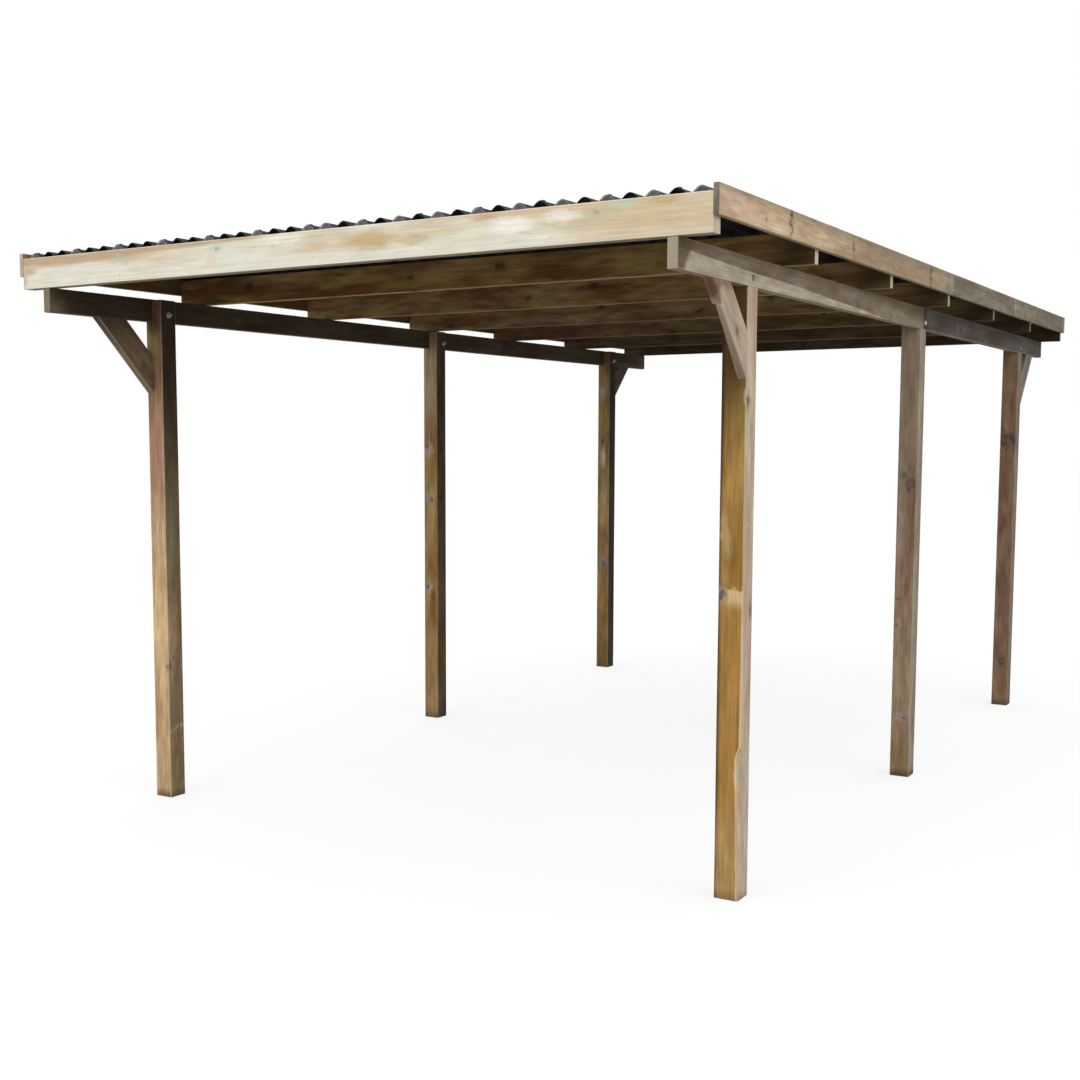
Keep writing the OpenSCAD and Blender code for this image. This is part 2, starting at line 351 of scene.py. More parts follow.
    rough = ranged(tree, fields["patch"], 0.3, 0.7, 0.68, 0.86)
    height = calc(tree, "MULTIPLY_ADD", split, -1.5, relief)
    grainy = add_node(tree, "ShaderNodeBump", {"Strength": 0.6, "Distance": 0.0009, "Height": height}).outputs[0]
    set_inputs(tree, tree.nodes["Principled BSDF"], {"Base Color": body, "Roughness": rough, "Normal": grainy,
                                                     "Specular IOR Level": 0.2})
    return wood


def apply_modifiers(piece):
    """Gives a piece the mesh that its modifiers make, and takes the modifiers off."""
    made = bpy.data.meshes.new_from_object(piece.evaluated_get(bpy.context.evaluated_depsgraph_get()))
    piece.modifiers.clear()
    piece.data = made


def smooth_faces(mesh, crease):
    """Smooth shading, with edges of more than so many degrees kept crisp."""
    mesh.polygons.foreach_set("use_smooth", [True] * len(mesh.polygons))
    mesh.set_sharp_from_angle(angle=math.radians(crease))


def finish_timber(piece, node, axes, heart, seed, look):
    """Pine of its own, smooth shading with crisp ends, the root as parent, and the CAD node's part, which the timber
    stands for, hidden.
    """
    smooth_faces(piece.data, 32)
    piece.data.materials.clear()
    piece.data.materials.append(treated_pine("treated pine, planed " + node.replace("_", " "), axes, heart, seed=seed,
                                             **look))
    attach(piece, "root")
    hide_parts(node)


# The right-hand front post has wane, the round bark side of the stem, on its front outer edge near the ground.
def front_wane(along):
    """How far the wane cuts back the front and the outer face at a height, or None above it."""
    heights = (0.0, 0.10, 0.19, 0.27, 0.36, 0.42, 0.487, 0.515, 0.535)
    cuts = (0.0060, 0.0085, 0.0110, 0.0130, 0.0145, 0.0170, 0.0190, 0.0120, 0.0040)
    for k in range(len(heights) - 1):
        if heights[k] <= along < heights[k + 1]:
            part = (along - heights[k]) / (heights[k + 1] - heights[k])
            cut = cuts[k] + (cuts[k + 1] - cuts[k]) * part + 0.0008 * math.sin(along * 63)
            return cut, 1.7 * cut, 0.45
    return None


def front_right_edges(corner, along):
    """The front outer edge is rubbed to pale wood with a painted highlight below the big knot, and the front inner edge
    is darkened with painted shade.
    """
    return {2: -1.0, 3: 1.0 if along < 1.08 else 0.45}.get(corner, 0.5)


post_looks = {
    "post_front_right": dict(
        pale="#ac8549", deep="#8f6a2f", core="#4a403a", rim="#241c16", edge="#e4cc9c", edge_rub_and_highlight=0.85, blotch=0.3,
        faces=[(RIGHT, "#c2ae9b", "#ae9a87"), (BACK, "#a08a6c", "#8a7254"), (LEFT, "#6e5838", "#5a4428")],
        knots=[((1.297, -2.144, 1.054), 0.011), ((1.37, -2.076, 0.997), 0.011), ((1.37, -2.126, 1.7), 0.012)],
        zones=[("#cfb388", DOWN, -1.08, -1.074, 0.9, FRONT), ("#a67c3e", DOWN, -1.052, -1.005, 1.0, FRONT),
            # painted shade: the next two zones darken the front face above the brace's foot and along its inner edge
            ("#54391f", UP, 1.45, 1.84, 0.9, FRONT), ("#33261a", LEFT, -1.302, -1.284, 0.8, FRONT),
            ("#b89868", DOWN, -0.42, -0.15, 0.6, FRONT)],
        spots=[("#beb09c", (1.296, -2.144, 1.06), 0.028, 0.85, 1.0), ("#8f6a34", (1.31, -2.144, 0.8), 0.03, 0.5, 0.15),
            ("#c9a862", (1.34, -2.144, 1.073), 0.016, 0.7, 1.5), ("#8c7838", (1.356, -2.144, 1.69), 0.022, 0.7, 0.15),
            ("#b58c4e", (1.34, -2.144, 0.65), 0.03, 0.5, 0.15), ("#c2ab7c", (1.3, -2.144, 1.28), 0.02, 0.55, 0.25),
            ("#c2ab7c", (1.314, -2.144, 1.22), 0.02, 0.5, 0.25), ("#86682c", (1.352, -2.144, 1.19), 0.024, 0.6),
            ("#d8ccb0", (1.373, -2.14, 1.708), 0.019, 0.85, 0.45), ("#9c7a4c", (1.316, -2.144, 0.95), 0.03, 0.5),
            ("#9a9c8a", (1.36, -2.136, 0.445), 0.026, 0.85, 0.5),
            ("#d8ccba", (1.37, -2.103, 1.292), 0.014, 0.7, 0.8)]),
    "post_middle_right": dict(
        pale="#a18870", deep="#8a7058", core="#6a5e56", rim="#2a2222", edge="#b8b09c", stain=0.2, blotch=0.45,
        faces=[(RIGHT, "#968f80", "#857c6b"), (BACK, "#8a7a64", "#74644e"), (LEFT, "#7c6850", "#64523c")],
        knots=[((1.314, -0.044, 1.408), 0.01), ((1.34, -0.044, 1.368), 0.019), ((1.3, -0.044, 0.833), 0.007),
            ((1.292, -0.044, 0.71), 0.006)],
        spots=[("#8f8a7c", (1.33, -0.044, 1.385), 0.05, 0.6, 0.7), ("#94785c", (1.32, -0.044, 1.28), 0.03, 0.5),
            ("#a2857a", (1.316, -0.044, 1.02), 0.05, 0.5, 0.3), ("#ab8f8c", (1.318, -0.044, 0.285), 0.042, 0.75, 1.2),
            ("#4a3630", (1.345, -0.044, 0.28), 0.012, 0.8, 1.0), ("#a2928e", (1.3, -0.044, 0.725), 0.03, 0.7, 1.0)],
        zones=[("#b2a08a", UP, 1.25, 1.8, 0.6, FRONT), ("#7f6a40", DOWN, -0.24, -0.08, 0.7, FRONT),
            ("#4a3c2e", DOWN, -0.04, -0.004, 0.6)]),
    "post_rear_right": dict(
        pale="#9b7b62", deep="#7d604d", core="#75655a", rim="#221a16", edge="#a89c88", stain=0.15, blotch=0.45,
        faces=[(RIGHT, "#7e7567", "#6d6252"), (BACK, "#8a7a64", "#74644e"), (LEFT, "#7c6850", "#64523c")],
        knots=[((1.302, 2.056, 1.572), 0.017), ((1.331, 2.056, 1.56), 0.018), ((1.356, 2.056, 1.538), 0.015),
            ((1.33, 2.056, 0.267), 0.012)],
        zones=[("#4a3c2e", DOWN, -0.05, -0.005, 0.6)],
        spots=[("#5c4c40", (1.326, 2.056, 1.57), 0.06, 0.6, 0.9), ("#a98a6a", (1.326, 2.056, 1.18), 0.03, 0.5),
            ("#54362a", (1.326, 2.056, 0.27), 0.035, 0.6, 0.8), ("#80746a", (1.322, 2.056, 1.535), 0.026, 0.6, 1.2)],
        scars=[("#2e2520", 1.578, 0.75, FRONT)]),
    "post_front_left": dict(
        pale="#caaa80", deep="#b08d64", edge="#d8bf9a", edge_rub_and_highlight=0.45,
        faces=[(RIGHT, "#8f7c60", "#77654a"), (LEFT, "#bda78c", "#a8927a"), (BACK, "#a08a6c", "#8a7254")],
        knots=[((-1.284, -2.14, 0.585), 0.009), ((-1.282, -2.115, 0.62), 0.006)],
        # painted shade under the roof: the first zone darkens the inner face and the third the front face towards the
        # top
        zones=[("#2e2319", UP, 1.05, 1.9, 0.9, RIGHT), ("#a17c68", UP, 1.1, 1.5, 0.65, FRONT),
            ("#7a5c48", UP, 1.45, 1.95, 0.7, FRONT), ("#6a5238", DOWN, -0.04, -0.004, 0.6)],
        spots=[("#dcc092", (-1.33, -2.144, 0.72), 0.1, 0.6, 0.3),
            # painted shade: the dark spots at 1.83 m and 2.06 m, at the brace's foot and below the beam
            ("#3f2b1e", (-1.355, -2.144, 1.83), 0.045, 0.85, 0.45),
            ("#a8925f", (-1.335, -2.144, 1.955), 0.06, 0.8, 0.4), ("#4a2c1c", (-1.33, -2.144, 2.06), 0.05, 0.7, 0.7)],
        scars=[("#c8b494", 0.296, 0.55, RIGHT)]),
    "post_middle_left": dict(
        pale="#a58756", deep="#8a6a36", core="#5e4c40", rim="#3a2e26", stain=0.15, blotch=0.45,
        # painted shade: the dark tones of the inner face
        faces=[(RIGHT, "#5a4b34", "#433726"), (LEFT, "#bda78c", "#a8927a"), (BACK, "#a08a6c", "#8a7254")],
        knots=[((-1.35, -0.044, 1.535), 0.009), ((-1.32, -0.044, 1.24), 0.01), ((-1.35, -0.044, 0.745), 0.009)],
        spots=[("#a4918a", (-1.335, -0.044, 1.515), 0.048, 0.85, 0.8),
            ("#a8948c", (-1.332, -0.044, 1.25), 0.044, 0.85, 0.9),
            ("#b3a08e", (-1.338, -0.044, 0.738), 0.04, 0.8, 0.9), ("#6a4622", (-1.31, -0.044, 0.7), 0.022, 0.7, 0.5),
            ("#211913", (-1.282, -0.003, 1.52), 0.02, 0.8, 0.7), ("#211913", (-1.282, -0.01, 1.246), 0.022, 0.8, 0.7),
            ("#241b14", (-1.282, -0.009, 0.34), 0.016, 0.7, 0.7), ("#6a5644", (-1.282, 0.006, 0.21), 0.012, 0.5, 0.7),
            ("#8d7236", (-1.32, -0.044, 1.385), 0.05, 0.7), ("#8a6434", (-1.32, -0.044, 0.87), 0.05, 0.6),
            ("#7e4f26", (-1.31, -0.044, 0.62), 0.05, 0.6, 0.25), ("#a07a5c", (-1.33, -0.044, 0.12), 0.06, 0.7, 0.3),
            ("#5c3c22", (-1.282, 0.01, 0.68), 0.03, 0.6), ("#5a4030", (-1.282, 0.0, 0.42), 0.03, 0.5, 0.2)],
        zones=[("#bca98a", UP, 1.5, 1.85, 0.6, FRONT), ("#382a1c", DOWN, -0.05, -0.004, 0.65),
            ("#2c2118", DOWN, -0.14, -0.02, 0.6, RIGHT)]),
    "post_rear_left": dict(
        pale="#987c52", deep="#7c653e", core="#4c4038", stain=0.15, blotch=0.45,
        # painted shade: the near-black tones of the inner face
        faces=[(RIGHT, "#2a2013", "#1e160c"), (LEFT, "#b09c84", "#9a876f"), (BACK, "#a08a6c", "#8a7254")],
        knots=[((-1.335, 2.056, 1.561), 0.012), ((-1.318, 2.056, 0.72), 0.01)],
        spots=[("#93857e", (-1.333, 2.056, 1.9), 0.05, 0.75, 0.7),
            ("#b8a58c", (-1.336, 2.056, 1.905), 0.022, 0.7, 0.8), ("#87743a", (-1.326, 2.056, 1.7), 0.05, 0.6, 0.3),
            ("#948a8c", (-1.326, 2.056, 0.73), 0.046, 0.8, 0.8), ("#cdbb9c", (-1.33, 2.056, 1.45), 0.03, 0.7, 0.3),
            ("#a0703c", (-1.33, 2.056, 0.45), 0.045, 0.5, 0.25), ("#b89e70", (-1.33, 2.056, 1.1), 0.045, 0.7, 0.2)],
        zones=[("#6e5a34", DOWN, -0.26, -0.06, 0.8, FRONT)]),
}
low_stain = ("#4d4030", DOWN, -0.05, 0.01, 0.6)
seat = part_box("beam_front_right")[0].z
notch_high, notch_deep, notch_past = 0.2, 0.2, 0.02
stem_off, stem_back = 0.012, 0.02
for number, (node, look) in enumerate(post_looks.items()):
    low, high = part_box(node)
    foot, size = timber_lie(node, UPRIGHT)
    waned = dict(wane=(3, front_wane), corner_rub_highlight_and_shade=front_right_edges, step=0.01) if node == "post_front_right" else {}
    solid = sawn_timber(node + "_timber", UPRIGHT, foot, size, number, ease=0.004, **waned)
    # the notch for the beam, as deep as the beam is thick
    beam_low, beam_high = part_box(node.replace("post_middle", "beam_front").replace("post", "beam"))
    inner, outer = (beam_low.x, high.x + notch_past) if low.x > 0 else (low.x - notch_past, beam_high.x)
    notch_box = Matrix.LocRotScale(Vector(((inner + outer) / 2, foot.y, seat + notch_high / 2)), None,
                                   Vector((outer - inner, notch_deep, notch_high)))
    cube = bmesh.new()
    bmesh.ops.create_cube(cube, size=1.0)
    bmesh.ops.transform(cube, matrix=notch_box, verts=cube.verts)
    notch_mesh = bpy.data.meshes.new("notch")
    cube.to_mesh(notch_mesh)
    cube.free()
    notch = new_object("notch", notch_mesh)
    saw = solid.modifiers.new("notch", "BOOLEAN")
    saw.operation, saw.solver, saw.object = "DIFFERENCE", "EXACT", notch
    apply_modifiers(solid)
    bpy.data.objects.remove(notch)
    finish_timber(solid, node, UPRIGHT, foot + Vector((stem_off * (-1) ** number, stem_back, 0)),
                  number + 1, {**look, "zones": look["zones"] + [low_stain]})


# ---------------------------------------------------------------- beams
# Two planed pine beams on each side, 36 by 96 mm, set on edge in the notches of the posts and butted
# on the middle post. Their outer faces have weathered grey-tan; the inner ones are dark, partly sheltered wood
# and partly painted shade, and the rear right beam's outer face is dark with painted shade from the roof.
ALONG = (Vector((0, 1, 0)), Vector((0, 0, 1)), Vector((1, 0, 0)))
beam_looks = {
    "beam_front_right": dict(
        pale="#867762", deep="#70604b",
        faces=[(LEFT, "#857056", "#6d5a42"), (DOWN, "#a8967c", "#94826a")],
        knots=[((1.37, -2.021, 2.15), 0.009), ((1.37, -0.974, 2.108), 0.008), ((1.37, -0.517, 2.098), 0.009)],
        zones=[("#62543f", UP, 2.135, 2.175, 0.35, RIGHT), ("#b4a996", (0, -0.026, -1), -2.071, -2.065, 0.9, RIGHT),
            ("#5f4f2e", (0, -1, 0.8), 4.29, 4.325, 0.85, RIGHT), ("#857a66", BACK, -1.3, -0.3, 0.5, RIGHT),
            ("#4a3d2a", (0, 0.05, 1), 2.09, 2.13, 0.7, RIGHT)],
        spots=[("#463b2e", (1.37, -2.021, 2.15), 0.013, 0.75, 1.0), ("#463a2c", (1.37, -0.974, 2.108), 0.01, 0.7, 1.0),
            ("#4a3e30", (1.37, -0.517, 2.098), 0.01, 0.7, 1.0)],
        scars=[("#4a4034", -0.974, 0.4, RIGHT)],
        end="#a89e90", edge_rub_and_highlight=0.2),
    "beam_rear_right": dict(
        # painted shade from the roof: the dark grey-brown tones of the outer face
        pale="#49413a", deep="#37302a",
        faces=[(LEFT, "#7c6a54", "#665640"), (DOWN, "#857866", "#74675a")],
        knots=[((1.37, 0.75, 2.12), 0.009), ((1.37, 1.6, 2.1), 0.008)],
        zones=[("#3f3d38", BACK, 2.0, 2.5, 0.7, RIGHT), ("#352c24", UP, 2.13, 2.18, 0.6, RIGHT),
            ("#2a2119", FRONT, -0.056, -0.046, 0.85, RIGHT)],
        spots=[("#17120e", (1.37, 0.024, 2.104), 0.026, 0.85, 1.0), ("#8c8276", (1.37, 0.62, 2.12), 0.02, 0.6, 1.5),
            ("#8a8478", (1.37, 2.58, 2.12), 0.02, 0.5, 0.8)],
        edge_rub_and_highlight=0.2),
    "beam_front_left": dict(
        # the dark tones of the inner face are partly sheltered wood and partly painted shade under the roof
        pale="#4f4233", deep="#3e3325",
        faces=[(LEFT, "#b5a48c", "#9c8a70"), (DOWN, "#75654e", "#625340")],
        knots=[((-1.334, -1.6, 2.12), 0.01), ((-1.334, -0.8, 2.13), 0.009)],
        end="#827a68", edge_rub_and_highlight=0.15,
        spots=[("#75634e", (-1.334, -2.672, 2.095), 0.055, 0.8, 0.7),
            ("#55513c", (-1.334, -2.665, 2.145), 0.045, 0.8, 0.7)]),
    "beam_rear_left": dict(
        # the dark tones of the inner face are partly sheltered wood and partly painted shade under the roof
        pale="#504334", deep="#403425",
        faces=[(LEFT, "#a8967c", "#94826a"), (DOWN, "#75654e", "#625340")],
        knots=[((-1.334, 0.7, 2.12), 0.01), ((-1.334, 1.4, 2.13), 0.009)],
        edge_rub_and_highlight=0.15),
}
stem_in, stem_up = 0.045, 0.01
for number, (node, look) in enumerate(beam_looks.items()):
    foot, size = timber_lie(node, ALONG)
    beam = sawn_timber(node + "_timber", ALONG, foot, size, number + 10)
    heart = foot + Vector((-stem_in if foot.x > 0 else stem_in, 0, stem_up))
    finish_timber(beam, node, ALONG, heart, number + 11, look)


# ---------------------------------------------------------------- braces
# Four knee braces of the beams' thickness, cut at both ends to half a right angle, between the end
# posts and the overhanging beams. The right-hand front one is cut back on its underside near the beam.
brace_looks = {
    "brace_front_right": dict(
        pale="#b7a390", deep="#a8947f",
        faces=[(FRONT, "#ab937c", "#947d66"), (LEFT, "#8a745a", "#705c44")],
        knots=[((1.37, -2.231, 1.922), 0.009)],
        blotch=0.35, hue=0.15, edge="#bfae98", edge_rub_and_highlight=0.1,
        # painted shade under the beam: this zone and the first spot darken the top of the brace
        zones=[("#7e5c44", UP, 2.035, 2.06, 0.7)],
        spots=[("#6e4c34", (1.352, -2.41, 2.035), 0.062, 0.95, 1.0),
            ("#b88468", (1.365, -2.345, 1.945), 0.016, 0.6, 0.4), ("#6f6444", (1.365, -2.318, 1.905), 0.014, 0.7, 0.7),
            ("#857a52", (1.365, -2.27, 1.86), 0.016, 0.6, 0.3)]),
    "brace_rear_right": dict(
        pale="#7e766b", deep="#6b645b",
        faces=[(LEFT, "#7c6a54", "#665640")],
        knots=[((1.37, 2.25, 1.93), 0.009)]),
    "brace_front_left": dict(
        pale="#9c8064", deep="#826a52",
        faces=[(FRONT, "#a3987f", "#8b816a"), (LEFT, "#b5a48c", "#9c8a70")],
        edge="#cfc6ae", edge_rub_and_highlight=0.5,
        knots=[((-1.334, -2.2, 1.88), 0.008)],
        # painted shade: both zones darken the brace towards the beam, most on its downward front face
        zones=[("#4a3a2a", UP, 1.95, 2.09, 0.7), ("#3a2e22", UP, 1.93, 2.0, 0.85, FRONT)]),
    "brace_rear_left": dict(
        pale="#5c4d3c", deep="#483b2c",
        faces=[(LEFT, "#a8967c", "#94826a")],
        knots=[((-1.334, 2.27, 1.94), 0.009)]),
}
slope, brace_deep, stem_out, stem_up = math.sqrt(0.5), 0.112, 0.03, 0.02
for number, (node, look) in enumerate(brace_looks.items()):
    low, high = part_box(node)
    to_front = high.y < 0
    climb = Vector((0, -slope if to_front else slope, slope))
    axes = (climb, Vector((1, 0, 0)), climb.cross(Vector((1, 0, 0))))
    rise = (high.z - low.z) - brace_deep * slope
    foot = Vector(((low.x + high.x) / 2, high.y if to_front else low.y, high.z - rise))
    size = (rise / slope, high.x - low.x, brace_deep)
    cut_back = dict(step=0.03)
    if node == "brace_front_right":
        # 10 mm is cut off the underside from 231 mm up, and its outer edge below that has wane
        cut_back = dict(step=0.004, trim=lambda along: 0.01 * max(0.0, min(1.0, (along - 0.231) / 0.004)),
                        wane=(2, lambda along: (0.006 + 0.052 * along, 0.05, 0.15) if along < 0.235 else None))
    brace = sawn_timber(node + "_timber", axes, foot, size, number + 20, ease=0.004,
                        skew=(1, -1) if to_front else (-1, 1), **cut_back)
    heart = foot + Vector((stem_out if low.x > 0 else -stem_out, 0, stem_up))
    finish_timber(brace, node, axes, heart, number + 21, look)


# ---------------------------------------------------------------- rafters
# Seven planed pine rafters, 36 by 115 mm, laid on edge across both beams. Under the roof they have
# kept the brown of the treatment, and their sawn ends show below the side boards. Their tones fall towards
# the rear with painted shade, and their undersides and front ends are paler, partly with painted light.
ACROSS = (Vector((1, 0, 0)), Vector((0, 1, 0)), Vector((0, 0, 1)))
# per rafter, front to rear: pale and deep side tones, end tone and underside tone; the fall towards the rear is painted
# shade under the roof, and the pale undersides are partly painted light from the ground
rafter_tones = [("#a3804e", "#7e5a32", "#d6ccb6", "#a38d6b"), ("#b08c56", "#71502a", "#d8ceb8", "#a8916e"),
                ("#b49062", "#7c5a34", "#c4b596", "#8a7657"), ("#b29468", "#7c5f3c", "#aea28a", "#6f5e44"),
                ("#967a52", "#6b5232", "#7f7563", "#5a4b35"), ("#745c44", "#523e2a", "#6c6454", "#4a3d28"),
                ("#64523a", "#483826", "#55503f", "#4c3f2d")]


def knots_along(axes, foot, size, seed, whorls):
    """Knots where branches left the stem: at each whorl one on most faces, as (point, radius)."""
    pick = random.Random(seed)
    width, depth = size[1:]
    sides = [(axes[1] * way, axes[2], width / 2, depth) for way in (1, -1)]
    sides += [(axes[2] * way, axes[1], depth / 2, width) for way in (1, -1)]
    found = []
    for at in whorls:
        for out, across, reach, span in sides:
            if pick.random() < 0.72:
                found.append((foot + axes[0] * (at + pick.uniform(-0.02, 0.02)) + out * reach
                              + across * pick.uniform(-0.3, 0.3) * span, pick.uniform(0.006, 0.013)))
    return found


most_knots, stem_at = 12, Vector((0, 0.05, 0.03))
for number, (pale, deep, end, under) in enumerate(rafter_tones):
    node = f"rafter_{number + 1}"
    foot, size = timber_lie(node, ACROSS)
    rafter = sawn_timber(node + "_timber", ACROSS, foot, size, number + 30)
    pick = random.Random(number + 5)
    whorls = [0.25 + pick.uniform(0, 0.2) + k * 0.46 for k in range(6)]
    look = dict(pale=pale, deep=deep, faces=[(DOWN, under, under)], edge=under, end=end, figure=0.22, blotch=0.6,
                knots=knots_along(ACROSS, foot, size, number, whorls)[:most_knots], hue=0.5,
                zones=[("#33251a" if number < 3 else "#2b291d", RIGHT, 1.25, 1.42, 0.8, FRONT)],
                core="#3f3022", rim="#2a2018")
    finish_timber(rafter, node, ACROSS, foot + stem_at, number + 31, look)


# ---------------------------------------------------------------- front board and side boards
# Planed pine boards, 20 mm thick: one 120 mm board across the front, standing on the beams, and two
# 92 mm lengths on each side, screwed to the rafters' ends. Sun and rain have bleached the front one.
board_looks = {
    "front_board": dict(
        pale="#dfd9c7", deep="#d2c1a2",
        # the underside's pale grey-green is partly painted light from the ground
        faces=[(DOWN, "#a9ab9b", "#989a88"), (BACK, "#94794e", "#7c6240")],
        figure=0.17, late="#b98f5a", ring=0.009, core="#9aa091", rim="#7d7f70", edge="#f3ecd9", edge_rub_and_highlight=0.9, cracked=0.15,
        blotch=0.12, hue=0.15, fibrous=0.08,
        knots=[((-0.445, -2.7, 2.259), 0.005), ((1.099, -2.7, 2.262), 0.006)],
        stain=0.2,
        zones=[("#b89c7c", (-0.035, 0, 1), 2.288, 2.304, 0.85, FRONT),
            ("#e0dfd0", (-0.02, 0, -1), -2.242, -2.212, 0.85, FRONT),
            ("#cfba97", (1, 0, -0.8), -0.9, -0.6, 0.7, FRONT)],
        spots=[("#b3c4b8", (-0.95, -2.7, 2.262), 0.022, 0.7, 0.5), ("#b9c8bb", (-0.9, -2.7, 2.246), 0.02, 0.6, 0.5),
            ("#bccabd", (-0.45, -2.7, 2.257), 0.026, 0.5), ("#c4ccbc", (-0.6, -2.7, 2.25), 0.02, 0.5),
            ("#dcbda6", (-0.47, -2.7, 2.222), 0.028, 0.5, 0.6), ("#c8986a", (-1.45, -2.7, 2.24), 0.026, 0.7),
            ("#a39c9c", (-1.49, -2.7, 2.198), 0.05, 0.75, 1.0), ("#d2b890", (0.02, -2.7, 2.236), 0.03, 0.4),
            ("#c4a872", (0.25, -2.7, 2.238), 0.045, 0.8, 0.25), ("#c2aa80", (0.42, -2.7, 2.228), 0.026, 0.7, 0.3),
            ("#efe8da", (-0.15, -2.7, 2.27), 0.03, 0.8, 0.2), ("#f3f0e8", (0.8, -2.7, 2.24), 0.042, 0.95, 0.35),
            ("#efeadd", (0.98, -2.7, 2.258), 0.026, 0.8, 0.25), ("#c9aa80", (0.7, -2.7, 2.282), 0.028, 0.8, 0.3),
            ("#c2cdba", (1.194, -2.7, 2.281), 0.028, 0.8), ("#c6caae", (1.1, -2.7, 2.25), 0.035, 0.6),
            ("#c2a276", (1.33, -2.7, 2.28), 0.03, 0.6)]),
    "side_board_front_right": dict(
        pale="#c9b195", deep="#b19676",
        faces=[(DOWN, "#b5a184", "#9c886c"), (LEFT, "#8a724e", "#705a3c"), (FRONT, "#8a867c", "#6e6a60")],
        end="#514c43", edge_rub_and_highlight=0.35, figure=0.1, hue=0.15, blotch=0.32,
        knots=[((1.5, -2.33, 2.255), 0.005)],
        scars=[("#5a4630", -2.108, 0.8, RIGHT), ("#5e4a36", -1.451, 0.7, RIGHT), ("#7c6650", -0.941, 0.6, RIGHT),
            ("#55422e", -0.39, 0.8, RIGHT)],
        spots=[("#9c7c58", (1.5, -2.105, 2.27), 0.03, 0.6, 0.7), ("#33271a", (1.5, -2.106, 2.297), 0.013, 0.9, 0.7),
            ("#3e3022", (1.5, -2.11, 2.262), 0.009, 0.8, 0.7), ("#8a6e50", (1.5, -1.452, 2.27), 0.024, 0.6, 0.7),
            ("#3e3022", (1.5, -1.449, 2.28), 0.01, 0.8, 0.7), ("#443526", (1.5, -1.454, 2.258), 0.008, 0.7, 0.7),
            ("#4d3d2c", (1.5, -0.944, 2.24), 0.01, 0.7, 0.7), ("#33271a", (1.5, -0.385, 2.288), 0.012, 0.8, 0.6),
            ("#3e3022", (1.5, -0.395, 2.25), 0.01, 0.7, 0.6)],
        zones=[("#8f7d64", BACK, -2.1, -1.1, 0.8, RIGHT), ("#807a66", BACK, -0.16, -0.12, 0.8, RIGHT),
            ("#857660", UP, 2.275, 2.31, 0.6, RIGHT)]),
    "side_board_rear_right": dict(
        pale="#7e7564", deep="#6a6150",
        faces=[(DOWN, "#948874", "#80745f"), (LEFT, "#7c684a", "#665438")],
        end="#7a7468", figure=0.1,
        knots=[((1.5, 0.55, 2.26), 0.006), ((1.5, 1.9, 2.28), 0.006)],
        scars=[("#b8ae9c", 1.29, 0.5, RIGHT)],
        zones=[("#625f4f", BACK, 1.4, 2.5, 0.7, RIGHT), ("#8d8f8a", BACK, 2.64, 2.665, 0.6, RIGHT)]),
    "side_board_front_left": dict(
        pale="#c4b294", deep="#aa9472",
        faces=[(DOWN, "#b5a184", "#9c886c"), (RIGHT, "#8a724e", "#705a3c")],
        end="#b8acae",
        knots=[((-1.5, -1.9, 2.27), 0.008), ((-1.5, -0.5, 2.28), 0.008)],
        scars=[("#5a4634", -1.2, 0.7, LEFT)]),
    "side_board_rear_left": dict(
        pale="#b0a088", deep="#988668",
        faces=[(DOWN, "#a8967c", "#94826a"), (RIGHT, "#7c684a", "#665438")],
        end="#8a8070",
        knots=[((-1.5, 0.4, 2.27), 0.008), ((-1.5, 2.0, 2.28), 0.008)],
        scars=[("#5a4634", 1.15, 0.7, LEFT)]),
}
for number, (node, look) in enumerate(board_looks.items()):
    axes = ACROSS if node == "front_board" else ALONG
    foot, size = timber_lie(node, axes)
    stem_at = (0, 0.055, 0.01) if node == "front_board" else (-0.06 if foot.x > 0 else 0.06, 0, 0.012)
    board = sawn_timber(node + "_timber", axes, foot, size, number + 40, ease=0.002)
    finish_timber(board, node, axes, foot + Vector(stem_at), number + 41, look)


# ---------------------------------------------------------------- roof sheets
# Twelve corrugated sheets of bitumen-soaked fibre, pressed to a 77.5 mm wave 25 mm high and coloured black.
# They lie with their waves to the rear, lapped by one wave at the sides and 300 mm at the ends.
wave_pitch, wave_high, wave_full, sheet_thick, lap_lift = 0.0775, 0.025, 0.72, 0.0025, 0.0027
sheet_cover, course_step = 0.775, 1.700

bitumen, tree = new_material("bitumen fibre sheet, pressed and coloured")
place = add_node(tree, "ShaderNodeTexCoord").outputs["Object"]
# fibres 2 to 3 mm long are pressed into the surface: drawn 6 mm wide so that they show
fibres, fade = [add_node(tree, "ShaderNodeTexNoise", {"Vector": place, "Scale": scale, "Detail": detail,
                                                      "Roughness": rough}).outputs["Fac"]
                for scale, detail, rough in ((160.0, 3.0, 0.6), (5.0, 4.0, 0.55))]
black = mix(tree, ranged(tree, fade, 0.35, 0.7), "#171618", "#2a292c")
# dust lies in the valleys, the underside has stayed black, and cut ends are grey, partly fibre and partly a painted
# highlight
spot = add_node(tree, "ShaderNodeSeparateXYZ", {0: place}).outputs
wave = calc(tree, "DIVIDE", spot[0], wave_pitch)
swing = calc(tree, "COSINE", calc(tree, "MULTIPLY", wave, 2 * math.pi))
silt = calc(tree, "MULTIPLY_ADD", fade, 1.6, swing)
black = mix(tree, ranged(tree, silt, 1.2, 2.1, 0.0, 0.6), black, "#4b463e")
normal = add_node(tree, "ShaderNodeNewGeometry").outputs["Normal"]
looks = add_node(tree, "ShaderNodeSeparateXYZ", {0: normal}).outputs
below = ranged(tree, looks[2], 0.1, -0.3)
black = mix(tree, below, black, "#0d0c0b")
# cut ends facing the front: grey fibre with a painted highlight
black = mix(tree, ranged(tree, looks[1], -0.6, -0.9, 0.0, 0.8), black, "#2a282b")
